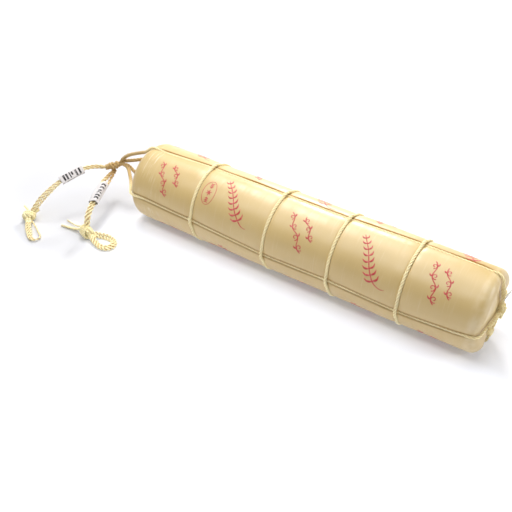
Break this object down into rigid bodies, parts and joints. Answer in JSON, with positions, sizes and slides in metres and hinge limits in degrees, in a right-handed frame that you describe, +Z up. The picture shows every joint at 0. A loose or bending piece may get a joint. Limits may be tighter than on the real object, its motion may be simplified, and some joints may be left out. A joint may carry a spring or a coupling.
{
  "type": "provolone cheese",
  "caption": "Long cylindrical cheese in a pale casing, lying down, netted in twine that is gathered at one end and trails in knotted loops with paper tags.",
  "frame": {"origin": "on the ground under the middle of the netted cheese, measured without the trailing twine", "axes": "+X along the cheese from the gathered end to the blunt end, -Y its front side, +Z up"},
  "size_m": [0.679, 0.2227, 0.1119],
  "materials": {
    "casing": "satin",
    "twine": "matte",
    "film": "glossy",
    "paper": "matte",
    "ink": "satin"
  },
  "bodies": {
    "root": {"cheese": "casing", "long_cord_front": "twine", "long_cord_top": "twine", "long_cord_back": "twine", "long_cord_bottom": "twine", "ring_cord_1": "twine", "ring_cord_2": "twine", "ring_cord_3": "twine", "ring_cord_4": "twine", "gather_knot": "twine", "centre_knot": "twine", "side_knot": "twine", "casing_tail": "film", "tail_1": "twine", "tail_2": "twine", "tag_1": "paper", "tag_2": "paper", "hang_knot_1": "twine", "hang_knot_2": "twine", "hang_loop_1": "twine", "hang_loop_2": "twine", "frayed_end_1": "twine", "frayed_end_2": "twine", "frayed_end_3": "twine"}
  },
  "joints": []
}
